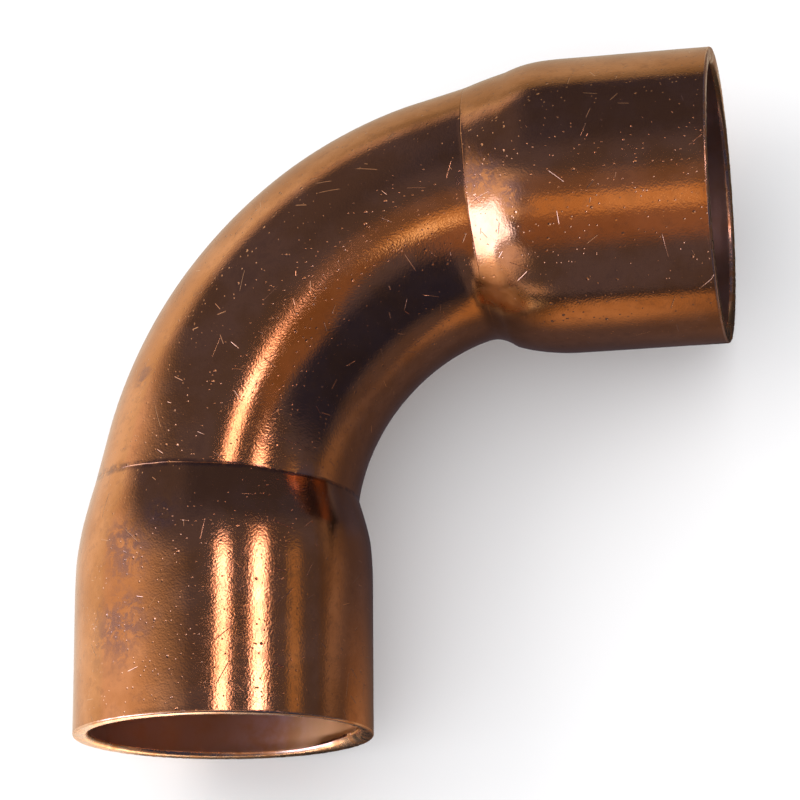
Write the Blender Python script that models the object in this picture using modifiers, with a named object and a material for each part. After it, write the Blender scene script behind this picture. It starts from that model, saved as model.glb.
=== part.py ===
"""Long-radius 90 degree elbow of wrought copper, with a solder socket formed on each end for 15 mm tube.

The elbow lies flat. Both sockets' axes are in one level plane and cross at right angles at the corner:
the lower socket opens towards -Y and the upper socket towards +X. z = 0 is the surface that the sockets
rest on, and the origin is the middle of the elbow's box, seen from above.

The real fitting is one bent tube whose two ends are opened out over a tool. It is modelled as its three
formed lengths, which part at the two forming creases: the bend and the two sockets with their shoulders.
"""

from math import pi

import bmesh
import bpy
from mathutils import Matrix, Vector
from mathutils.geometry import interpolate_bezier

MM = 0.001

# The tube that the sockets take, and the copper
TUBE_OD = 15.0 * MM
SOCKET_CLEARANCE = 0.1 * MM  # on the diameter, filled by solder
WALL = 0.85 * MM
SOCKET_R = (TUBE_OD + SOCKET_CLEARANCE) / 2 + WALL

# Along each socket's axis, measured from the corner: the open end, where the full cylinder
# stops and the shoulder starts, and the forming crease where the shoulder meets the bend
LOWER_END, LOWER_SHOULDER, LOWER_CREASE = 29.65 * MM, 19.9 * MM, 15.7 * MM
UPPER_END, UPPER_SHOULDER, UPPER_CREASE = 28.8 * MM, 18.8 * MM, 15.3 * MM
SHOULDER_POWER = 1.6  # 1 is a plain cone, more leaves the cylinder more gently

# The bend's outer radius at the lower crease, half way round, and at the upper crease
BEND_R_LOWER, BEND_R_MIDDLE, BEND_R_UPPER = 7.43 * MM, 7.22 * MM, 7.14 * MM

# The bend's centreline is one Bezier span: how far from the corner each end leaves its axis,
# and the length of its handle along that axis
LOWER_START, LOWER_HANDLE = 18.7 * MM, 11.2 * MM
UPPER_START, UPPER_HANDLE = 16.9 * MM, 7.9 * MM

RIM_CHAMFER = 0.15 * MM
CREASE_GAP = 0.3 * MM  # keeps the three lengths apart
ELBOW_NAME = "copper_elbow"

# The corner stands half a socket above z = 0, and the box of the elbow is centred on the Z axis
CORNER = Vector(((SOCKET_R - UPPER_END) / 2, (LOWER_END - SOCKET_R) / 2, SOCKET_R))

SIDES = 48  # facets round every tube
BEVEL_RESOLUTION = (SIDES - 4) // 2  # gives a bevelled curve the same number of sides
BEND_STATIONS = 30
SHOULDER_STATIONS = 9
INNER_OVERRUN = 1.0 * MM  # a cutter runs this far past what it cuts


def new_collection(name):
    collection = bpy.data.collections.new(name)
    bpy.context.scene.collection.children.link(collection)
    return collection


def copper(name, colour, roughness):
    """Bare copper for one length of the elbow."""
    material = bpy.data.materials.new(name)
    material.use_nodes = True
    shader = material.node_tree.nodes["Principled BSDF"]
    shader.inputs["Base Color"].default_value = (*colour, 1.0)
    shader.inputs["Metallic"].default_value = 1.0
    shader.inputs["Roughness"].default_value = roughness
    material.diffuse_color = (*colour, 1.0)
    return material


def shoulder_radius(share, crease_r):
    """Outer radius on a shoulder: share is 0 at the cylinder and 1 at the crease."""
    return SOCKET_R + (crease_r - SOCKET_R) * share**SHOULDER_POWER


def socket_profile(end, shoulder, crease, crease_r):
    """(radius, distance from the corner) points of a socket's wall, down its outside from the crease
    to the open end and back up its bore."""
    last_share = (shoulder - crease - CREASE_GAP / 2) / (shoulder - crease)
    shares = [last_share * i / SHOULDER_STATIONS for i in range(SHOULDER_STATIONS + 1)]
    wall_line = [(shoulder_radius(s, crease_r), shoulder - s * (shoulder - crease)) for s in shares]
    bore_r = SOCKET_R - WALL
    rim = [
        (SOCKET_R, end - RIM_CHAMFER),
        (SOCKET_R - RIM_CHAMFER, end),
        (bore_r + RIM_CHAMFER, end),
        (bore_r, end - RIM_CHAMFER),
    ]
    return wall_line[::-1] + rim + [(r - WALL, d) for r, d in wall_line]


def turned(name, profile, material, collection):
    """A closed ring of wall turned round Z from (radius, distance) points, opening towards -Z."""
    mesh = bpy.data.meshes.new(name)
    points = [(r, 0.0, -d) for r, d in profile]
    edges = [(i, (i + 1) % len(points)) for i in range(len(points))]
    mesh.from_pydata(points, edges, [])
    body = bpy.data.objects.new(name, mesh)
    collection.objects.link(body)
    screw = body.modifiers.new("turn", "SCREW")
    screw.axis = "Z"
    screw.angle = 2 * pi
    screw.steps = screw.render_steps = SIDES
    screw.use_merge_vertices = True
    screw.merge_threshold = 0.01 * MM
    screw.use_smooth_shade = True
    mesh.materials.append(material)
    return body


def centreline():
    """Points along the bend's centreline, from below the lower crease to beyond the upper one."""
    lower = Vector((0, -LOWER_START, 0))
    upper = Vector((UPPER_START, 0, 0))
    span = interpolate_bezier(
        lower,
        lower + Vector((0, LOWER_HANDLE, 0)),
        upper - Vector((UPPER_HANDLE, 0, 0)),
        upper,
        BEND_STATIONS,
    )
    return [CORNER + point for point in span]


def bend_radius(share):
    """Outer radius of the bent tube, by the share of the way from its lower to its upper end."""
    lower = BEND_R_LOWER + (BEND_R_MIDDLE - BEND_R_LOWER) * 2 * share
    upper = BEND_R_MIDDLE + (BEND_R_UPPER - BEND_R_MIDDLE) * (2 * share - 1)
    return lower if share < 0.5 else upper


def swept(name, points, radii, collection):
    """A round solid along points, each with its own radius, with flat closed ends."""
    curve = bpy.data.curves.new(name, "CURVE")
    curve.dimensions = "3D"
    curve.bevel_depth = 1.0
    curve.bevel_resolution = BEVEL_RESOLUTION
    curve.use_fill_caps = True
    spline = curve.splines.new("POLY")
    spline.points.add(len(points) - 1)
    for target, point, radius in zip(spline.points, points, radii):
        target.co = (*point, 1.0)
        target.radius = radius
    guide = bpy.data.objects.new(name + "_guide", curve)
    collection.objects.link(guide)
    bpy.context.view_layer.update()
    graph = bpy.context.evaluated_depsgraph_get()
    mesh = bpy.data.meshes.new_from_object(guide.evaluated_get(graph))
    mesh.name = name
    welded = bmesh.new()
    welded.from_mesh(mesh)
    bmesh.ops.remove_doubles(welded, verts=welded.verts, dist=0.001 * MM)
    bmesh.ops.recalc_face_normals(welded, faces=welded.faces)
    welded.to_mesh(mesh)
    welded.free()
    body = bpy.data.objects.new(name, mesh)
    body.matrix_world = guide.matrix_world.copy()
    collection.objects.link(body)
    bpy.data.objects.remove(guide)
    return body


def box_cutter(name, low, high, collection):
    """A block between two corners, given from the elbow's corner."""
    mesh = bpy.data.meshes.new(name)
    block = bmesh.new()
    size = Vector(high) - Vector(low)
    middle = (Vector(high) + Vector(low)) / 2 + CORNER
    placed = Matrix.Translation(middle) @ Matrix.Diagonal((*size, 1.0))
    bmesh.ops.create_cube(block, size=1.0, matrix=placed)
    block.to_mesh(mesh)
    block.free()
    body = bpy.data.objects.new(name, mesh)
    collection.objects.link(body)
    return body


def cut(body, cutter):
    """Takes the cutter away from the body."""
    boolean = body.modifiers.new(cutter.name, "BOOLEAN")
    boolean.operation = "DIFFERENCE"
    boolean.solver = "EXACT"
    boolean.object = cutter
    cutter.hide_render = True
    cutter.display_type = "WIRE"


def make_bend(material, parts, cutters):
    """The bent tube between the creases: swept solid, less its bore, squared off at both creases."""
    points = centreline()
    radii = [bend_radius(i / (len(points) - 1)) for i in range(len(points))]
    bend = swept("bend", points, radii, parts)
    bend.data.materials.append(material)
    first, last = Vector((0, -INNER_OVERRUN, 0)), Vector((INNER_OVERRUN, 0, 0))
    bore_points = [points[0] + first, *points[1:-1], points[-1] + last]
    cut(bend, swept("bend_bore_cutter", bore_points, [r - WALL for r in radii], cutters))
    reach = SOCKET_R + INNER_OVERRUN
    lower_face, upper_face = LOWER_CREASE - CREASE_GAP / 2, UPPER_CREASE - CREASE_GAP / 2
    below = (-reach, -LOWER_END, -reach), (reach, -lower_face, reach)
    beyond = (upper_face, -reach, -reach), (UPPER_END, reach, reach)
    cut(bend, box_cutter("lower_crease_cutter", *below, cutters))
    cut(bend, box_cutter("upper_crease_cutter", *beyond, cutters))
    for polygon in bend.data.polygons:
        polygon.use_smooth = True
    return bend


def make_socket(name, profile, turn, material, parts):
    """A socket with its shoulder, opening along -Z until it is turned and put at the corner."""
    socket = turned(name, profile, material, parts)
    socket.location = CORNER
    socket.rotation_euler = turn
    return socket


def main():
    for old in list(bpy.data.objects):
        bpy.data.objects.remove(old)
    parts, cutters = new_collection(ELBOW_NAME), new_collection("cutters")

    lower = socket_profile(LOWER_END, LOWER_SHOULDER, LOWER_CREASE, BEND_R_LOWER)
    upper = socket_profile(UPPER_END, UPPER_SHOULDER, UPPER_CREASE, BEND_R_UPPER)
    towards_minus_y, towards_plus_x = (-pi / 2, 0, 0), (0, -pi / 2, 0)
    make_socket("lower_socket", lower, towards_minus_y, copper("lower_socket", (0.62, 0.3, 0.14), 0.3), parts)
    make_bend(copper("bend", (0.58, 0.27, 0.13), 0.32), parts, cutters)
    make_socket("upper_socket", upper, towards_plus_x, copper("upper_socket", (0.6, 0.28, 0.15), 0.34), parts)


main()
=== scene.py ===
"""The looks of a long-radius 90 degree elbow of wrought copper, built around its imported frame.

The real fitting is one bent tube whose two ends are opened out into solder sockets. Here it is three
closed pieces that meet at the two forming creases, one for each length of the frame: a hollow loft along
the elbow's centreline, with the unevenness that forming leaves, the crease lines and the sawn rims. The
copper is procedural: tarnish, stains, grain, nicks and scratches over polished metal.
"""

import math

import bpy
import numpy as np
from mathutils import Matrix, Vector, noise
from mathutils.geometry import interpolate_bezier


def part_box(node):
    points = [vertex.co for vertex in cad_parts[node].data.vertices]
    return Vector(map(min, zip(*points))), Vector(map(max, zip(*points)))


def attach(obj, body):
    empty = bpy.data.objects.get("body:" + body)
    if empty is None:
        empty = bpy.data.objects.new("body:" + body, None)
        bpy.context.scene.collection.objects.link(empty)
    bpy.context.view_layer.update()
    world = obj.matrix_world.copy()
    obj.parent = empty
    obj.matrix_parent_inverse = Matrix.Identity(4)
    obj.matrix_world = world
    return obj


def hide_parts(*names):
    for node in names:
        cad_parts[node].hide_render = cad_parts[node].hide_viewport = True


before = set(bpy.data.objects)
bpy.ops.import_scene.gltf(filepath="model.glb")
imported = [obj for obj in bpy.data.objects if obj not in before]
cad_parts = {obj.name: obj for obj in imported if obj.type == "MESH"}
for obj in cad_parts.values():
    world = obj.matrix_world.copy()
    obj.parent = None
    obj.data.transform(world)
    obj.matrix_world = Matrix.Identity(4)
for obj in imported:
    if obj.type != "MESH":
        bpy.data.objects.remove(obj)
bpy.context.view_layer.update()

MM = 0.001

# Where the frame puts the elbow. The sockets' axes cross at the corner.
LOWER_LOW, LOWER_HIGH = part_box("lower_socket")
UPPER_LOW, UPPER_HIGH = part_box("upper_socket")
BEND_LOW, BEND_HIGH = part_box("bend")
CORNER = Vector((
    (LOWER_LOW.x + LOWER_HIGH.x) / 2,
    (UPPER_LOW.y + UPPER_HIGH.y) / 2,
    (LOWER_LOW.z + LOWER_HIGH.z) / 2,
))
SOCKET_R = (LOWER_HIGH.z - LOWER_LOW.z) / 2
LOWER_END = CORNER.y - LOWER_LOW.y
UPPER_END = UPPER_HIGH.x - CORNER.x
LOWER_CREASE = CORNER.y - (LOWER_HIGH.y + BEND_LOW.y) / 2
UPPER_CREASE = (UPPER_LOW.x + BEND_HIGH.x) / 2 - CORNER.x

# The part's own design values, measured along each socket's axis from the corner
WALL = 0.85 * MM
LOWER_SHOULDER, UPPER_SHOULDER = 19.9 * MM, 18.8 * MM
SHOULDER_POWER = 1.6
BEND_R_LOWER, BEND_R_MIDDLE, BEND_R_UPPER = 7.43 * MM, 7.22 * MM, 7.14 * MM
LOWER_START, LOWER_HANDLE = 18.7 * MM, 11.2 * MM
UPPER_START, UPPER_HANDLE = 16.9 * MM, 7.9 * MM

# How the forming left it
CREASE_TILT_LOWER, CREASE_TILT_UPPER = -0.075, 0.036  # radians off square to the path
TILT_FADE = 0.2  # share of the bend over which a crease's tilt dies away
CREASE_ROUND = 0.15 * MM  # half the length over which a crease is rounded
ROUND_GROWTH, MOST_ROUND = 0.27, 1.3 * MM  # the rounding grows away from a crease
CREASE_SOFT = 1.7 * MM  # the rounding where a crease is drawn out soft
CREASE_WANDER = 0.09 * MM  # how far it strays along the tube, in waves with ripples on them
WAVE_COUNT, RIPPLE_COUNT, RIPPLE_SHARE = 2.2, 9, 0.4
RIM_OUTER_ROUND, RIM_INNER_ROUND = 0.12 * MM, 0.30 * MM
RIM_REAMED = 0.38 * MM  # taken off the lower rim's inner edge as well, on the bend's inner side
RIM_CLEARANCE, RIM_ROUGH_COUNT = 0.02 * MM, 40  # the saw's raggedness, just short of the end
RIM_STEPS = 6  # across each rounded edge
SKIN_CLEARANCE = 0.03 * MM  # keeps the uneven skin inside the frame's box
DENT_DEPTH, DENT_SIZE = 0.006 * MM, 2.2 * MM
SWELL_DEPTH, SWELL_SIZE = 0.018 * MM, 7.0 * MM

# How finely the loft is made
SIDES = 256
SKIN_STEP, CREASE_STEP, BORE_STEP = 0.25 * MM, 0.04 * MM, 0.5 * MM
CREASE_ZONE = 0.4 * MM

OUTSIDE, CUT, BORE = 0, 1, 2  # material slots of each piece


# ---------------------------------------------------------------- the shape


def make_path():
    """The centreline, as distances along it from the lower open end and the points there."""
    lower = Vector((0, -LOWER_START, 0))
    upper = Vector((UPPER_START, 0, 0))
    span = interpolate_bezier(
        lower,
        lower + Vector((0, LOWER_HANDLE, 0)),
        upper - Vector((UPPER_HANDLE, 0, 0)),
        upper,
        2000,
    )
    points = [Vector((0, -LOWER_END, 0)), *span, Vector((UPPER_END, 0, 0))]
    points = np.array([CORNER + p for p in points])
    along = np.concatenate([[0], np.cumsum(np.linalg.norm(np.diff(points, axis=0), axis=1))])
    return along, points


ALONG, POINTS = make_path()
LENGTH = ALONG[-1]
LOWER_CREASE_AT = float(np.interp(CORNER.y - LOWER_CREASE, POINTS[:, 1], ALONG))
UPPER_CREASE_AT = float(np.interp(CORNER.x + UPPER_CREASE, POINTS[:, 0], ALONG))
LOWER_SHOULDER_AT = LOWER_END - LOWER_SHOULDER
UPPER_SHOULDER_AT = LENGTH - (UPPER_END - UPPER_SHOULDER)


def bend_share(at):
    """-1 at the lower crease, 1 at the upper one."""
    return (2 * at - LOWER_CREASE_AT - UPPER_CREASE_AT) / (UPPER_CREASE_AT - LOWER_CREASE_AT)


def plain_radius(at):
    """Outer radius at a distance along the centreline, with sharp creases."""
    lower = (LOWER_CREASE_AT - at) / (LOWER_CREASE_AT - LOWER_SHOULDER_AT)
    upper = (at - UPPER_CREASE_AT) / (UPPER_SHOULDER_AT - UPPER_CREASE_AT)
    if lower >= 0 or upper >= 0:
        rise, crease_r = max((lower, BEND_R_LOWER), (upper, BEND_R_UPPER))
        fall = max(0.0, 1 - rise) ** SHOULDER_POWER
        return SOCKET_R + (crease_r - SOCKET_R) * fall
    x = bend_share(at)
    slope = (BEND_R_UPPER - BEND_R_LOWER) / 2
    bow = (BEND_R_UPPER + BEND_R_LOWER) / 2 - BEND_R_MIDDLE
    return BEND_R_MIDDLE + slope * x + bow * x * x


def ease(value, low, high):
    """0 at low, 1 at high, smooth between."""
    share = np.clip((value - low) / (high - low), 0, 1)
    return share * share * (3 - 2 * share)


TURNS = np.linspace(0, 2 * math.pi, SIDES, endpoint=False) + math.pi  # round the tube, 0 at the top
OUTERNESS = np.sin(TURNS)  # 1 on the bend's outer side, -1 on its inner side


def softness(at):
    """How soft the nearer crease is round the tube, from 0 to 1: the upper one is crisp over the top
    only, and the lower one everywhere but on the outer side."""
    if bend_share(at) < 0:
        return 0.9 * ease(OUTERNESS, 0.15, 0.75)
    return np.maximum(0.75 * ease(OUTERNESS, 0.2, 0.9), ease(-OUTERNESS, 0.42, 0.72))


def mean_radius(at, reach):
    """The mean of the sharp-creased radius from reach before a distance to reach after it."""
    return float(np.mean([plain_radius(at + reach * k / 8) for k in range(-8, 9)]))


def radius(at):
    """Outer radius round the tube, with the creases and shoulders rounded: the mean over a length that
    grows away from a crisp crease, and is long at a soft one."""
    away = min(abs(at - LOWER_CREASE_AT), abs(at - UPPER_CREASE_AT))
    crisp = mean_radius(at, min(CREASE_ROUND + ROUND_GROWTH * away, MOST_ROUND))
    return crisp + (mean_radius(at, CREASE_SOFT) - crisp) * softness(at)


def tilt(at):
    """How far the ring at a distance leans from square to the centreline, in radians."""
    x = bend_share(at)
    crease_tilt = CREASE_TILT_LOWER if x < 0 else CREASE_TILT_UPPER
    if abs(x) <= 1:
        fade = (abs(x) - 1 + 2 * TILT_FADE) / (2 * TILT_FADE)
    elif x < 0:
        fade = (at - LOWER_SHOULDER_AT) / (LOWER_CREASE_AT - LOWER_SHOULDER_AT)
    else:
        fade = (UPPER_SHOULDER_AT - at) / (UPPER_SHOULDER_AT - UPPER_CREASE_AT)
    return crease_tilt * min(1.0, max(0.0, fade))


STEP_AHEAD = 0.01 * MM  # either way along the centreline, for its direction


def point_at(at):
    """The centreline's point at a distance along it."""
    return np.array([np.interp(at, ALONG, POINTS[:, i]) for i in range(3)])


def ring(at, r):
    """The points of a ring of radius r, which is an array round the tube, with its centre and the
    centreline's direction there."""
    before, after = point_at(at - STEP_AHEAD), point_at(at + STEP_AHEAD)
    tangent = (after - before) / np.linalg.norm(after - before)
    centre = (before + after) / 2
    up = np.array([0.0, 0.0, 1.0])
    outward = np.cross(up, tangent)
    lean = math.tan(tilt(at))
    cos, sin = np.cos(TURNS)[:, None], np.sin(TURNS)[:, None]
    return centre + r[:, None] * (cos * up + sin * outward + sin * lean * tangent), centre, tangent


def noise_round(count, seed):
    """Noise round the tube, finer as count grows, that joins up with itself."""
    return np.array([noise.noise((count * math.cos(t), count * math.sin(t), seed)) for t in TURNS])


def wander(at):
    """Shifts of a ring along the tube, so that a crease isn't a perfect circle."""
    shift = np.zeros(SIDES)
    for crease, seed in ((LOWER_CREASE_AT, 3.0), (UPPER_CREASE_AT, 8.0)):
        near = math.exp(-(((at - crease) / (6 * CREASE_ROUND)) ** 2))
        waves = noise_round(WAVE_COUNT, seed) + RIPPLE_SHARE * noise_round(RIPPLE_COUNT, seed)
        shift += CREASE_WANDER * near * waves
    return shift


def uneven(points):
    """How far the skin stands in from true, at points: shallow dents over a long swell."""
    dents = [noise.noise(p / DENT_SIZE) for p in points]
    swells = [noise.noise(p / SWELL_SIZE + 20) for p in points]
    return DENT_DEPTH * np.array(dents) + SWELL_DEPTH * np.array(swells) - SKIN_CLEARANCE


def skin_ring(at):
    """A ring of the uneven outside."""
    points, centre, tangent = ring(at, radius(at))
    outward = (points - centre) / np.linalg.norm(points - centre, axis=1)[:, None]
    return points + outward * uneven(points)[:, None] + wander(at)[:, None] * tangent


def bore_ring(at):
    """A ring of the bore, a wall's thickness inside the outside."""
    points, _, tangent = ring(at, radius(at) - WALL)
    return points + wander(at)[:, None] * tangent


def stations(start, end, step):
    """Distances from start to end, closer together at the creases."""
    marks = {start, end}
    for crease in (LOWER_CREASE_AT, UPPER_CREASE_AT):
        marks |= {min(max(crease + side * CREASE_ZONE, start), end) for side in (-1, 1)}
    marks = sorted(marks)
    out = []
    for a, b in zip(marks, marks[1:]):
        at_crease = any(abs((a + b) / 2 - c) < CREASE_ZONE for c in (LOWER_CREASE_AT, UPPER_CREASE_AT))
        count = max(1, math.ceil((b - a) / (CREASE_STEP if at_crease else step)))
        out += [a + (b - a) * k / count for k in range(count)]
    return out + [end]


def rim_rings(at, way):
    """The sawn end: way is -1 at the lower end and 1 at the upper one. Runs from the bore to the skin,
    round both edges, which the saw and the deburring left a little ragged."""
    outer, inner = radius(at), radius(at) - WALL
    rings = []
    lower_inner_side = RIM_REAMED * ease(-OUTERNESS, 0.3, 0.9) * (way < 0)
    for edge, toward, rounding in ((inner, 1, RIM_INNER_ROUND + lower_inner_side), (outer, -1, RIM_OUTER_ROUND)):
        turns = [k * math.pi / (2 * RIM_STEPS) for k in range(RIM_STEPS + 1)]
        if toward < 0:
            turns = turns[::-1]
        for turn in turns:
            r = edge + toward * rounding * (1 - math.cos(turn))
            back = rounding * (1 - math.sin(turn))
            points, centre, tangent = ring(at, r)
            clear = RIM_CLEARANCE * (1 + noise_round(RIM_ROUGH_COUNT, 5.0 + way))
            inset = (points - centre) * (SKIN_CLEARANCE / outer)[:, None]
            rings.append(points - way * tangent * (back + clear)[:, None] - inset)
    return rings


def loft(name, rings, slots, materials, at_rings):
    """A closed hollow piece through rings, the last joined to the first. slots has the material of the
    faces after each ring, and at_rings each ring's distance along the centreline."""
    count = len(rings)
    vertices = np.concatenate(rings)
    faces = []
    for i in range(count):
        j = (i + 1) % count
        for k in range(SIDES):
            m = (k + 1) % SIDES
            faces.append((j * SIDES + k, j * SIDES + m, i * SIDES + m, i * SIDES + k))
    mesh = bpy.data.meshes.new(name)
    mesh.from_pydata(vertices.tolist(), [], faces)
    mesh.polygons.foreach_set("material_index", np.repeat(slots, SIDES))
    mesh.polygons.foreach_set("use_smooth", np.ones(len(faces), bool))
    for material in materials:
        mesh.materials.append(material)
    # The tube unrolled, in metres: across is round the tube, with the seam underneath
    across = np.linspace(0, 2 * math.pi * SOCKET_R, SIDES + 1)
    unrolled = mesh.uv_layers.new(name="unrolled")
    ring_at = np.append(at_rings, at_rings[0])
    i, k = np.divmod(np.arange(len(faces)), SIDES)
    corner_u = np.stack([across[k], across[k + 1], across[k + 1], across[k]], axis=1)
    corner_v = np.stack([ring_at[i + 1], ring_at[i + 1], ring_at[i], ring_at[i]], axis=1)
    unrolled.data.foreach_set("uv", np.stack([corner_u, corner_v], axis=2).ravel())
    mesh.validate()
    piece = bpy.data.objects.new(name, mesh)
    bpy.context.scene.collection.objects.link(piece)
    return piece


def make_piece(name, start, end, rim, materials):
    """One length of the elbow between two distances. rim is -1 where its start is an open end, 1 where
    its end is, and 0 where both are creases."""
    skin = stations(start, end, SKIN_STEP)
    bore = stations(start, end, BORE_STEP)
    if rim < 0:
        skin, bore = skin[1:], bore[1:]
    if rim > 0:
        skin, bore = skin[:-1], bore[:-1]
    rings = [skin_ring(at) for at in skin]
    ats = list(skin)
    slots = [OUTSIDE] * len(skin)
    upper_rim = rim_rings(end, 1)[::-1] if rim > 0 else []
    lower_rim = rim_rings(start, -1) if rim < 0 else []
    rings += upper_rim + [bore_ring(at) for at in bore[::-1]] + lower_rim
    ats += [end] * len(upper_rim) + bore[::-1] + [start] * len(lower_rim)
    slots += [CUT] * len(upper_rim) + [BORE] * len(bore) + [CUT] * len(lower_rim)
    if upper_rim:
        slots[len(skin) + len(upper_rim) - 1] = BORE
    if lower_rim:
        slots[-1] = OUTSIDE
    return loft(name, rings, slots, materials, ats)


# ---------------------------------------------------------------- the copper


def node(tree, kind, inputs=None, **settings):
    """Adds a node. An input is set by name or number, to a value or from a socket."""
    made = tree.nodes.new(kind)
    for name, value in settings.items():
        setattr(made, name, value)
    for name, value in (inputs or {}).items():
        if isinstance(value, bpy.types.NodeSocket):
            tree.links.new(value, made.inputs[name])
        else:
            made.inputs[name].default_value = value
    return made


def maths(tree, operation, *values, clamp=False):
    """A sum on sockets and numbers."""
    made = node(tree, "ShaderNodeMath", dict(enumerate(values)), operation=operation)
    made.use_clamp = clamp
    return made.outputs[0]


def ramp(tree, value, low, high, to_low=0.0, to_high=1.0):
    """value from low to high, eased and kept between to_low and to_high."""
    inputs = {0: value, 1: low, 2: high, 3: to_low, 4: to_high}
    made = node(tree, "ShaderNodeMapRange", inputs)
    made.interpolation_type = "SMOOTHSTEP"
    return made.outputs[0]


def mix(tree, share, a, b):
    """Colour a, turning to b as share goes to 1."""
    made = node(tree, "ShaderNodeMix", {0: share, 6: a, 7: b}, data_type="RGBA")
    return made.outputs[2]


def cloud(tree, where, size, detail=2.0, rough=0.5, twist=0.0):
    """Noise with features of about size metres."""
    inputs = {"Vector": where, "Scale": 1 / size, "Detail": detail}
    inputs |= {"Roughness": rough, "Distortion": twist}
    return node(tree, "ShaderNodeTexNoise", inputs).outputs[0]


def cells(tree, where, size, dimensions="3D"):
    """Random cells of about size metres: distance to each one's middle in sizes, colour, middle."""
    inputs = {"Vector": where, "Scale": 1 / size}
    made = node(tree, "ShaderNodeTexVoronoi", inputs, voronoi_dimensions=dimensions)
    return made.outputs["Distance"], made.outputs["Color"], made.outputs["Position"]


def colour(r, g, b):
    """A colour for a node's socket."""
    return (r, g, b, 1.0)


def unrolled(tree):
    """The place on the tube unrolled: round the tube and along it, in metres."""
    return node(tree, "ShaderNodeUVMap", uv_map="unrolled").outputs[0]


SHORTEST = 0.3  # the shortest nick, in lengths asked for; the longest is one length more


def strokes(tree, size, length, width, share, spread):
    """Straight nicks on the unrolled tube, one in some cells, each of its own length and turned its own
    way by up to spread from running round the tube: 1 in a nick."""
    where = unrolled(tree)
    _, random, middle = cells(tree, where, size, "2D")
    chance = node(tree, "ShaderNodeSeparateColor", {0: random})
    local = node(tree, "ShaderNodeVectorMath", {0: where, 1: middle}, operation="SUBTRACT")
    turn = maths(tree, "MULTIPLY_ADD", chance.outputs[0], 2 * spread, -spread)
    inputs = {"Vector": local.outputs[0], "Angle": turn}
    turned = node(tree, "ShaderNodeVectorRotate", inputs, rotation_type="Z_AXIS").outputs[0]
    parts = node(tree, "ShaderNodeSeparateXYZ", {0: turned})
    short = maths(tree, "ADD", chance.outputs[2], SHORTEST)
    away = maths(tree, "DIVIDE", maths(tree, "ABSOLUTE", parts.outputs[0]), short)
    ends = ramp(tree, away, length / 2, length / 3)
    sides = ramp(tree, maths(tree, "ABSOLUTE", parts.outputs[1]), width / 2, 0.0)
    chosen = maths(tree, "LESS_THAN", chance.outputs[1], share)
    return maths(tree, "MULTIPLY", maths(tree, "MULTIPLY", ends, sides), chosen)


def pits(tree, where, size, width, share):
    """Round nicks, one in some cells: 1 in the middle of a nick."""
    distance, random, _ = cells(tree, where, size)
    chance = node(tree, "ShaderNodeSeparateColor", {0: random})
    chosen = maths(tree, "LESS_THAN", chance.outputs[1], share)
    return maths(tree, "MULTIPLY", ramp(tree, distance, width / size, 0.0), chosen)


def blots(tree, where, spots, ragged):
    """Soft round patches at spots, each (x, y, z, radius) in millimetres, with ragged edges: 1 in a
    patch."""
    patch = None
    for spot in spots:
        *centre, r = (value * MM for value in spot)
        gap = node(tree, "ShaderNodeVectorMath", {0: where, 1: centre}, operation="DISTANCE")
        away = maths(tree, "MULTIPLY_ADD", ragged, r, gap.outputs["Value"])
        share = ramp(tree, away, 1.5 * r, 0.75 * r)
        patch = share if patch is None else maths(tree, "MAXIMUM", patch, share)
    return patch


def new_material(name):
    """A metal, with its node tree, its shader and the place on the object in metres."""
    material = bpy.data.materials.new(name)
    material.use_nodes = True
    tree = material.node_tree
    shader = tree.nodes["Principled BSDF"]
    shader.inputs["Metallic"].default_value = 1.0
    where = node(tree, "ShaderNodeTexCoord").outputs["Object"]
    return material, tree, shader, where


def bump(tree, shader, height):
    """Relief on a shader: height is in metres."""
    made = node(tree, "ShaderNodeBump", {"Strength": 1.0, "Distance": 1.0, "Height": height})
    tree.links.new(made.outputs[0], shader.inputs["Normal"])


def total(tree, *terms):
    """The sum of (socket, factor) terms."""
    value = maths(tree, "MULTIPLY", *terms[0])
    for socket, factor in terms[1:]:
        value = maths(tree, "MULTIPLY_ADD", socket, factor, value)
    return value


BRIGHT = colour(0.80, 0.38, 0.17)
WARM = colour(0.66, 0.29, 0.11)
BROWN = colour(0.42, 0.20, 0.11)
LILAC = colour(0.34, 0.19, 0.155)
PINK = colour(0.94, 0.60, 0.40)
RED_BROWN = colour(0.74, 0.44, 0.36)
RUST = colour(0.50, 0.25, 0.13)
BORE_SHADE = colour(0.33, 0.22, 0.19)
SHEEN_COPPER = colour(0.95, 0.39, 0.10)
PAINTED_SHADE_COPPER = colour(0.60, 0.36, 0.26)
BORE_LIGHT = colour(0.98, 0.52, 0.19)
# Painted shade: darkens the lower crease and the bright line along it
CREASE_SHADE = colour(0.20, 0.11, 0.09)  # in the lower crease

# Places on the skin, in millimetres: x, y, z and how far each spreads.
# Stained: the left of the lower socket, the outside of the bend and the top of the upper shoulder, where
# the last two also paint a lilac tint round the window's reflection
STAIN_AND_GLINT_TINT_SPOTS = [
    (-13.4, -9.6, 15.4, 2.6),
    (-13.9, -13.9, 15.2, 2.8),
    (-11.8, -8.0, 16.6, 1.6),
    (-14.0, 0.8, 14.2, 1.3),
    (6.1, 10.4, 16.0, 2.1),
    (8.0, 9.0, 16.4, 1.2),
]
# Painted shade, greyer copper that dims the shoulder's red reflection of the bend: the inner side of the
# lower shoulder
PAINTED_SHADE_SPOTS = [(-4.0, -6.4, 13.2, 1.9), (-3.2, -7.0, 12.0, 1.9), (-2.6, -7.4, 10.6, 1.9)]
# Rubbed and roughened by the drawing, and painted a brighter orange as a sheen that carries the window's
# glint down: the inner side of the upper shoulder
RUBBED_SHEEN_SPOTS = [(6.2, 4.8, 13.9, 1.7), (6.0, 3.9, 13.0, 1.7), (7.0, 3.9, 12.9, 1.6)]

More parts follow.
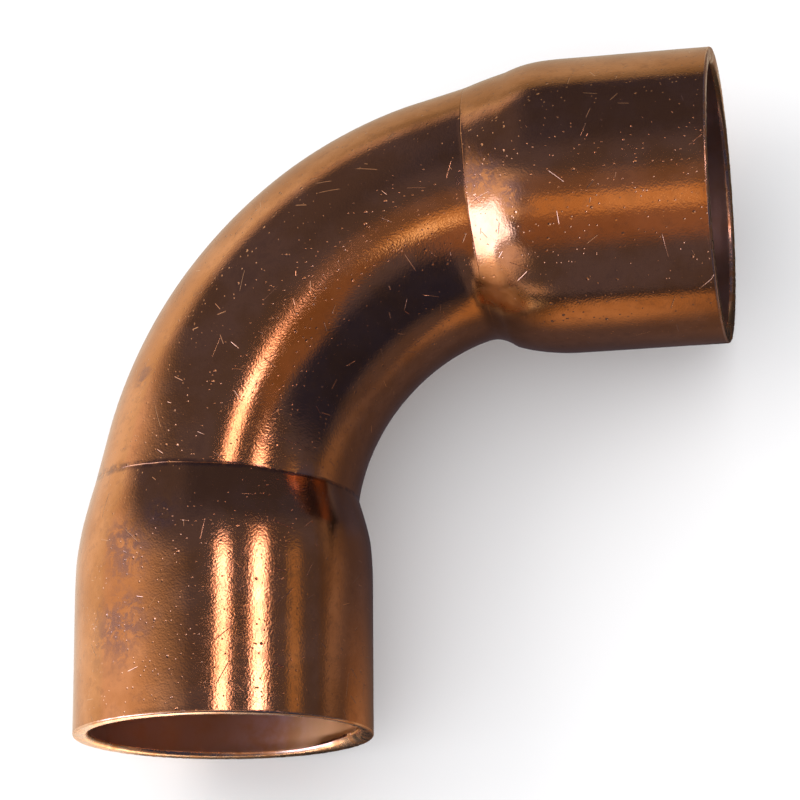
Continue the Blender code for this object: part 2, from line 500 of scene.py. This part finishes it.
# The relief of the skin: the size of each kind of feature, and how high it stands or how deep it goes
GRAIN_SIZE, GRAIN_HEIGHT = 0.115 * MM, 0.0060 * MM
DIMPLE_SIZE, DIMPLE_HEIGHT = 0.24 * MM, 0.0032 * MM
FINE_PITS = dict(size=0.26 * MM, width=0.06 * MM, share=0.42)
COARSE_PITS = dict(size=0.7 * MM, width=0.11 * MM, share=0.42)
MARKS = dict(size=1.3 * MM, length=0.75 * MM, width=0.07 * MM, share=0.18, spread=0.8)
HAIRLINES = dict(size=2.0 * MM, length=1.3 * MM, width=0.05 * MM, share=0.24, spread=math.pi)
FINE_DEPTH, COARSE_DEPTH, MARK_DEPTH, HAIRLINE_DEPTH = 0.024 * MM, 0.034 * MM, 0.012 * MM, 0.010 * MM
CREASE_SHADE_EDGE, CREASE_SHADE_CORE = 0.30 * MM, 0.10 * MM  # from the middle of the lower crease


def outside_copper():
    """Drawn and handled copper: polished, grained, tarnished in patches, with bright nicks; painted
    shade in the lower crease and on the lower shoulder, and painted sheen and a painted lilac tint on
    the upper shoulder.
    """
    material, tree, shader, where = new_material("copper_outside")
    patches = cloud(tree, where, 3.4 * MM, detail=4.0, rough=0.6)
    mottle = cloud(tree, where, 0.5 * MM, detail=3.0, rough=0.6)
    cloudy = cloud(tree, where, 1.2 * MM, detail=5.0, rough=0.65, twist=0.4)
    rubbed_sheen = blots(tree, where, RUBBED_SHEEN_SPOTS, cloudy)
    painted_shade = blots(tree, where, PAINTED_SHADE_SPOTS, cloudy)
    ragged = cloud(tree, where, 0.8 * MM, detail=6.0, rough=0.75, twist=0.6)
    flecks = ramp(tree, ragged, 0.42, 0.54)
    stains_and_glint_tint = maths(tree, "MULTIPLY", blots(tree, where, STAIN_AND_GLINT_TINT_SPOTS, cloudy), flecks)
    along = node(tree, "ShaderNodeSeparateXYZ", {0: unrolled(tree)}).outputs["Y"]
    # Painted shade in the lower crease, broken up by the mottle
    off_crease = maths(tree, "ABSOLUTE", maths(tree, "SUBTRACT", along, LOWER_CREASE_AT))
    in_crease = ramp(tree, off_crease, CREASE_SHADE_EDGE, CREASE_SHADE_CORE)
    crease_shade = maths(tree, "MULTIPLY", in_crease, ramp(tree, mottle, 0.34, 0.58))
    wear = ramp(tree, cloud(tree, where, 5.0 * MM, detail=2.0), 0.36, 0.62, 0.40, 1.0)
    grain = cloud(tree, where, GRAIN_SIZE, detail=2.0)
    dimples = cloud(tree, where, DIMPLE_SIZE, detail=2.0)
    fine = maths(tree, "MULTIPLY", pits(tree, where, **FINE_PITS), wear)
    coarse = maths(tree, "MULTIPLY", pits(tree, where, **COARSE_PITS), wear)
    marks = strokes(tree, **MARKS)
    hairlines = strokes(tree, **HAIRLINES)
    round_nicks = maths(tree, "ADD", fine, coarse)
    long_nicks = maths(tree, "ADD", marks, hairlines)
    nicks = maths(tree, "ADD", round_nicks, long_nicks, clamp=True)

    tint = mix(tree, ramp(tree, patches, 0.38, 0.64), WARM, BRIGHT)
    tint = mix(tree, maths(tree, "MULTIPLY", ramp(tree, mottle, 0.5, 0.75), 0.35), tint, BROWN)
    tint = mix(tree, maths(tree, "MULTIPLY", ramp(tree, patches, 0.60, 0.72), 0.4), tint, RUST)
    # Stains, which on the upper shoulder also paint the tint round the window's reflection
    tint = mix(tree, maths(tree, "MULTIPLY", stains_and_glint_tint, 0.8), tint, LILAC)
    tint = mix(tree, maths(tree, "MULTIPLY", crease_shade, 0.6), tint, CREASE_SHADE)
    # Painted shade on the inner side of the lower shoulder
    tint = mix(tree, maths(tree, "MULTIPLY", painted_shade, 0.7), tint, PAINTED_SHADE_COPPER)
    # Painted sheen: brighter orange copper on the inner side of the upper shoulder
    tint = mix(tree, maths(tree, "MULTIPLY", rubbed_sheen, 0.85), tint, SHEEN_COPPER)
    tint = mix(tree, maths(tree, "MULTIPLY", nicks, 0.5), tint, PINK)
    tree.links.new(tint, shader.inputs["Base Color"])

    in_patches = ramp(tree, patches, 0.35, 0.7, 0.13, 0.09)
    in_mottle = ramp(tree, mottle, 0.45, 0.8, 0.0, 0.08)
    where_rubbed = ramp(tree, cloudy, 0.35, 0.62, 0.16, 0.34)
    rough = maths(tree, "ADD", in_patches, in_mottle)
    rough = maths(tree, "MULTIPLY_ADD", stains_and_glint_tint, 0.14, rough)
    rough = maths(tree, "MULTIPLY_ADD", rubbed_sheen, where_rubbed, rough)
    tree.links.new(rough, shader.inputs["Roughness"])
    height = total(
        tree,
        (grain, GRAIN_HEIGHT),
        (dimples, DIMPLE_HEIGHT),
        (fine, -FINE_DEPTH),
        (coarse, -COARSE_DEPTH),
        (marks, -MARK_DEPTH),
        (hairlines, -HAIRLINE_DEPTH),
    )
    bump(tree, shader, height)
    return material


def cut_copper():
    """The sawn and deburred rims: bare pinkish metal with fine tool marks."""
    material, tree, shader, where = new_material("copper_cut")
    patches = cloud(tree, where, 0.9 * MM, detail=3.0)
    lines = cloud(tree, where, 0.08 * MM, detail=2.0)
    tint = mix(tree, ramp(tree, patches, 0.35, 0.7), PINK, BRIGHT)
    tree.links.new(tint, shader.inputs["Base Color"])
    tree.links.new(ramp(tree, patches, 0.3, 0.7, 0.18, 0.34), shader.inputs["Roughness"])
    bump(tree, shader, total(tree, (lines, 0.002 * MM)))
    return material


def bore_copper():
    """Inside: duller and redder, as the annealing left it, with painted shade towards the two sides of
    the frame, and painted light, a brighter band between, that takes in the reamed inner side of the
    lower socket."""
    material, tree, shader, where = new_material("copper_bore")
    patches = cloud(tree, where, 2.2 * MM, detail=4.0, rough=0.6)
    grain = cloud(tree, where, 0.16 * MM, detail=2.0)
    across = node(tree, "ShaderNodeSeparateXYZ", {0: where}).outputs["X"]
    # Painted shade on the bore towards both sides: the left of the lower mouth and the upper mouth
    on_left = ramp(tree, across, -8 * MM, -13 * MM)
    on_right = ramp(tree, across, 6 * MM, 13 * MM)
    bore_shade = maths(tree, "MAXIMUM", on_left, on_right)
    # Painted light: a brighter band over the lower bore's inner side
    lower_inner_side = inside(tree, across, -7.5 * MM, -1 * MM, 4 * MM)
    tint = mix(tree, ramp(tree, patches, 0.35, 0.68), RED_BROWN, WARM)
    tint = mix(tree, maths(tree, "MULTIPLY", bore_shade, 0.75), tint, BORE_SHADE)
    tint = mix(tree, maths(tree, "MULTIPLY", lower_inner_side, 0.9), tint, BORE_LIGHT)
    tree.links.new(tint, shader.inputs["Base Color"])
    rough = maths(tree, "MULTIPLY_ADD", lower_inner_side, 0.08, ramp(tree, patches, 0.3, 0.7, 0.50, 0.40))
    tree.links.new(rough, shader.inputs["Roughness"])
    bump(tree, shader, total(tree, (grain, 0.003 * MM)))
    return material


# ---------------------------------------------------------------- the studio

PALE = colour(0.92, 0.92, 0.93)  # the background
FILL = colour(1.22, 1.22, 1.24)  # the light it gives the floor
ROOM = colour(0.092, 0.092, 0.15)  # the rest of the room that the copper reflects

# What the copper reflects, by the direction's components: ranges of x, y and z, how soft the edges
# are, and the light. Later ones cover earlier ones.
SOFT_BOXES = [
    ((-0.3, 2), (0.42, 2), (-2, 0.86), 0.24, (0.046, 0.05, 0.10)),  # dark far wall
    ((0.12, 2), (-2, -0.08), (-2, 0.74), 0.2, (0.018, 0.024, 0.07)),  # dark near corner
    ((-2, -0.5), (-0.56, -0.08), (-0.1, 0.68), 0.16, (3.0, 3.4, 5.6)),  # window
    ((-0.75, -0.38), (-0.83, -0.62), (0.02, 0.56), 0.14, (0.76, 0.66, 0.74)),  # window side
    ((0.138, 0.302), (-0.01, 0.28), (0.5, 2), 0.03, (1.5, 0.98, 0.8)),  # first strip
    ((0.158, 0.282), (0.0, 0.27), (0.5, 2), 0.03, (5.0, 3.8, 4.3)),  # first tube
    ((0.566, 0.706), (0.10, 0.31), (0.5, 2), 0.03, (1.5, 0.98, 0.8)),  # second strip
    ((0.582, 0.690), (0.11, 0.30), (0.5, 2), 0.03, (6.0, 4.6, 5.4)),  # second tube
    ((0.5, 2), (0.08, 0.26), (0.26, 0.42), 0.06, (0.42, 0.30, 0.2)),  # third strip
    ((-0.4, 0.14), (-0.3, 0.12), (0.5, 2), 0.16, (0.20, 0.15, 0.16)),  # upper glow
    ((-0.4, 0.14), (-0.72, -0.3), (0.5, 2), 0.2, (0.28, 0.165, 0.12)),  # lower glow
    ((-0.24, 0.12), (-0.41, -0.17), (0.5, 2), 0.06, (0.64, 0.40, 0.21)),  # lamp
    ((0.0, 0.10), (-0.38, -0.24), (0.5, 2), 0.06, (1.5, 1.3, 1.0)),  # lamp core
    ((0.16, 0.60), (-0.34, 0.06), (0.5, 2), 0.1, (0.22, 0.13, 0.085)),  # dim ceiling
]

# The bright left wall: both its edges slant, by WALL_LEAN, and a faint skirting runs along under it
WALL_LIGHT = colour(0.86, 0.72, 0.66)
WALL_X, WALL_LEAN, WALL_EDGE = -0.25, 0.5, 0.14
WALL_NEAR, WALL_FAR = (-0.05, 0.09), (0.74, 0.42)  # its edges towards -Y and +Y, from none to full
SKIRTING_TOP, SKIRTING_EDGE, SKIRTING_SHARE = 0.10, 0.12, 0.55


def inside(tree, value, low, high, edge):
    """1 where value is between low and high, with soft edges."""
    rise = ramp(tree, value, low - edge / 2, low + edge / 2)
    fall = ramp(tree, value, high + edge / 2, high - edge / 2)
    return maths(tree, "MULTIPLY", rise, fall)


def studio():
    """The world: pale to the eye, and to the copper a dim room with soft boxes in it."""
    world = bpy.data.worlds.new("studio")
    world.use_nodes = True
    tree = world.node_tree
    direction = node(tree, "ShaderNodeTexCoord").outputs["Generated"]
    parts = node(tree, "ShaderNodeSeparateXYZ", {0: direction}).outputs
    slant = maths(tree, "MULTIPLY_ADD", parts["Z"], WALL_LEAN, parts["Y"])
    wall = maths(tree, "MULTIPLY", ramp(tree, slant, *WALL_NEAR), ramp(tree, slant, *WALL_FAR))
    low_down = inside(tree, parts["Z"], -2, SKIRTING_TOP, SKIRTING_EDGE)
    skirting = maths(tree, "MULTIPLY", low_down, SKIRTING_SHARE)
    on_left = inside(tree, parts["X"], -2, WALL_X, WALL_EDGE)
    lit = maths(tree, "MULTIPLY", maths(tree, "MAXIMUM", wall, skirting), on_left)
    room = mix(tree, lit, ROOM, WALL_LIGHT)
    for *spans, edge, light in SOFT_BOXES:
        shares = [inside(tree, parts[i], *span, edge) for i, span in enumerate(spans)]
        share = maths(tree, "MULTIPLY", maths(tree, "MULTIPLY", shares[0], shares[1]), shares[2])
        room = mix(tree, share, room, colour(*light))
    path = node(tree, "ShaderNodeLightPath")
    seen = mix(tree, path.outputs["Is Camera Ray"], FILL, PALE)
    seen = mix(tree, path.outputs["Is Glossy Ray"], seen, room)
    background = tree.nodes["Background"]
    tree.links.new(seen, background.inputs["Color"])
    bpy.context.scene.world = world


def make_sheet(name, height, marks):
    """A square level sheet, with a vertex at each pair of marks. It isn't part of the object."""
    count = len(marks)
    vertices = [(x, y, height) for y in marks for x in marks]
    corners = [j * count + i for j in range(count - 1) for i in range(count - 1)]
    faces = [(c, c + 1, c + count + 1, c + count) for c in corners]
    mesh = bpy.data.meshes.new(name)
    mesh.from_pydata(vertices, [], faces)
    sheet = bpy.data.objects.new(name, mesh)
    bpy.context.scene.collection.objects.link(sheet)
    material = bpy.data.materials.new(name)
    material.use_nodes = True
    shader = material.node_tree.nodes["Principled BSDF"]
    shader.inputs["Roughness"].default_value = 0.9
    shader.inputs["Specular IOR Level"].default_value = 0.0
    mesh.materials.append(material)
    return sheet, material.node_tree, shader


# The light of the floor that the copper reflects
FLOOR_LEFT = np.array([0.93, 0.84, 0.72])  # on the outer side, out to the left
FLOOR_TOP = np.array([0.50, 0.44, 0.34])  # on the rest of the outer side
FLOOR_SHADOW = np.array([0.10, 0.085, 0.105])  # on the inner side
FLOOR_FAR = np.array([0.06, 0.06, 0.095])  # far out on the inner side
FLOOR_BELOW = np.array([0.48, 0.31, 0.18])  # in a patch towards -Y, right of the lower mouth
FLOOR_RIGHT = np.array([0.25, 0.19, 0.17])  # in a fainter patch towards +X, right of everything
FLOOR_SPOT = np.array([7.0, 5.6, 4.2])  # in a small spot in front of the lower mouth
LEFTWARD = np.array([-0.93, -0.37])  # the way in which the outer side gets brighter
OUTER_FADE = 0.45  # the share of its light that the outer side loses far out
# Painted contact shadow on the reflected floor, close to the elbow on the inner side
INNER_NEAR = 0.65  # the share of its light that the inner side keeps close to the elbow
MOUTH_SHADE = 0.85  # the share of its light that the floor loses beyond the mouths
PATH_BEYOND = 0.2  # metres that the centreline is carried on past each end


def past(value, low, high):
    """0 up to low and 1 from high, both in millimetres."""
    return ease(value, low * MM, high * MM)


def offset_from_path(places):
    """Level distance from the centreline, carried on straight past its ends: positive outside the
    bend, negative inside it."""
    path = POINTS[:: len(POINTS) // 60, :2]
    path = np.vstack([path[0] - (0, PATH_BEYOND), path, path[-1] + (PATH_BEYOND, 0)])
    starts, runs = path[:-1], np.diff(path, axis=0)
    gap = places[:, None, :] - starts[None]
    share = np.einsum("pij,ij->pi", gap, runs) / np.einsum("ij,ij->i", runs, runs)
    offset = gap - np.clip(share, 0, 1)[:, :, None] * runs[None]
    distance = np.linalg.norm(offset, axis=2)
    nearest = distance.argmin(axis=1)
    rows = np.arange(len(places))
    run, gap = runs[nearest], offset[rows, nearest]
    side = np.sign(run[:, 0] * gap[:, 1] - run[:, 1] * gap[:, 0])
    return side * distance[rows, nearest]


def reflected_light(places):
    """What the copper sees of the floor, with its light and shadow painted in: bright on the outer side,
    most so to the left, and dim with painted shadow on the inner side but for two lit patches. A strip
    beyond each mouth is darker still with painted shadow, and a small painted pool of light lies past
    the one at the lower mouth."""
    signed = offset_from_path(places)
    x, y = places.T
    far = np.hypot(x, y)

    outer_share = past(signed, -7, 7) * past(-x, -26, -18) * past(y - x, -70, -30)
    left = past(places @ LEFTWARD, -10, 40)[:, None]
    dimmer_far = OUTER_FADE * past(far, 50, 140)[:, None] * (1 - 0.8 * left)
    outer = (FLOOR_TOP + (FLOOR_LEFT - FLOOR_TOP) * left) * (1 - dimmer_far)

    below = (past(-y, 7, 23) * past(-x, -22, -10) * past(x, -8, 6))[:, None]
    right = (past(x, 10, 32) * past(y, -18, -5))[:, None]
    patches = (FLOOR_BELOW - FLOOR_SHADOW) * below + (FLOOR_RIGHT - FLOOR_SHADOW) * right
    inner = FLOOR_SHADOW + patches
    inner = inner + (FLOOR_FAR - inner) * past(far, 60, 120)[:, None] * (1 - 0.45 * right)
    inner = inner * (INNER_NEAR + (1 - INNER_NEAR) * past(-signed, 9, 15))[:, None]

    light = inner + (outer - inner) * outer_share[:, None]
    spot = past(-x, 12, 17) * past(x, -22, -18.5) * past(-y, 22, 26) * past(y, -48, -36)
    light = light + (FLOOR_SPOT - light) * spot[:, None]
    before_lower = past(-abs(x - CORNER.x), -8.6, -7)
    before_upper = past(-abs(y - CORNER.y), -8.6, -7)
    at_lower_end = past(-y, 18, 19) * past(y, -22, -20) * before_lower
    at_upper_end = past(x, 16, 18) * past(-x, -50, -38) * before_upper
    return light * (1 - MOUTH_SHADE * np.maximum(at_lower_end, at_upper_end))[:, None]


FLOOR_HALF = 0.6
CARD_HEIGHT = -0.02 * MM  # just under the floor
NEAR_MARKS = np.linspace(-0.06, 0.06, 161)
WIDE_MARKS = [0.075, 0.1, 0.13, 0.2, FLOOR_HALF]


def floors():
    """The pale floor, and the sheet of light that the copper reflects in its place, with the floor's
    light and shadow painted into it.
    """
    floor, _, shader = make_sheet("floor", 0.0, [-FLOOR_HALF, FLOOR_HALF])
    shader.inputs["Base Color"].default_value = colour(0.9, 0.9, 0.9)
    floor.visible_glossy = False
    marks = [*(-m for m in WIDE_MARKS[::-1]), *NEAR_MARKS, *WIDE_MARKS]
    card, tree, shader = make_sheet("floor_reflected", CARD_HEIGHT, marks)
    card.visible_camera = card.visible_diffuse = card.visible_shadow = False
    places = np.array([v.co[:2] for v in card.data.vertices])
    light = card.data.color_attributes.new("light", "FLOAT_COLOR", "POINT")
    colours = np.column_stack([reflected_light(places), np.ones(len(places))])
    light.data.foreach_set("color", colours.ravel())
    glow = node(tree, "ShaderNodeVertexColor", layer_name="light").outputs["Color"]
    shader.inputs["Base Color"].default_value = colour(0, 0, 0)
    tree.links.new(glow, shader.inputs["Emission Color"])
    shader.inputs["Emission Strength"].default_value = 1.0


KEY_SIZE, KEY_POWER = 70 * MM, 0.045
KEY_PLACE = Vector((-95, 25, 90)) * MM


def key_light():
    """A large soft light from the left. Reflections don't see it: there the soft boxes stand for it."""
    light = bpy.data.lights.new("key", "AREA")
    light.shape = "SQUARE"
    light.size = KEY_SIZE
    light.energy = KEY_POWER
    light.color = (1.0, 0.98, 0.96)
    key = bpy.data.objects.new("key", light)
    key.location = KEY_PLACE
    key.rotation_euler = (-key.location).to_track_quat("-Z", "Y").to_euler()
    key.visible_glossy = False
    bpy.context.scene.collection.objects.link(key)


CAMERA_PLACE = Vector((32.07, -45.27, 169.53)) * MM
CAMERA_TURN = (15.239, 11.401, -0.523)  # degrees
CAMERA_LENS, CAMERA_SENSOR = 135.33, 36  # millimetres


def camera():
    """Looks down on the elbow from the right of its lower end."""
    data = bpy.data.cameras.new("camera")
    data.sensor_width = CAMERA_SENSOR
    data.lens = CAMERA_LENS
    data.clip_start, data.clip_end = 0.01, 10
    cam = bpy.data.objects.new("camera", data)
    cam.location = CAMERA_PLACE
    cam.rotation_euler = [math.radians(a) for a in CAMERA_TURN]
    bpy.context.scene.collection.objects.link(cam)
    bpy.context.scene.camera = cam


# ---------------------------------------------------------------- putting it together

camera()
studio()
key_light()
floors()
bpy.context.scene.view_settings.view_transform = "Standard"

materials = [outside_copper(), cut_copper(), bore_copper()]
for name, node_name, start, end, rim in (
    ("lower_socket_copper", "lower_socket", 0.0, LOWER_CREASE_AT, -1),
    ("bend_copper", "bend", LOWER_CREASE_AT, UPPER_CREASE_AT, 0),
    ("upper_socket_copper", "upper_socket", UPPER_CREASE_AT, LENGTH, 1),
):
    piece = make_piece(name, start, end, rim, materials)
    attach(piece, "root")
    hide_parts(node_name)
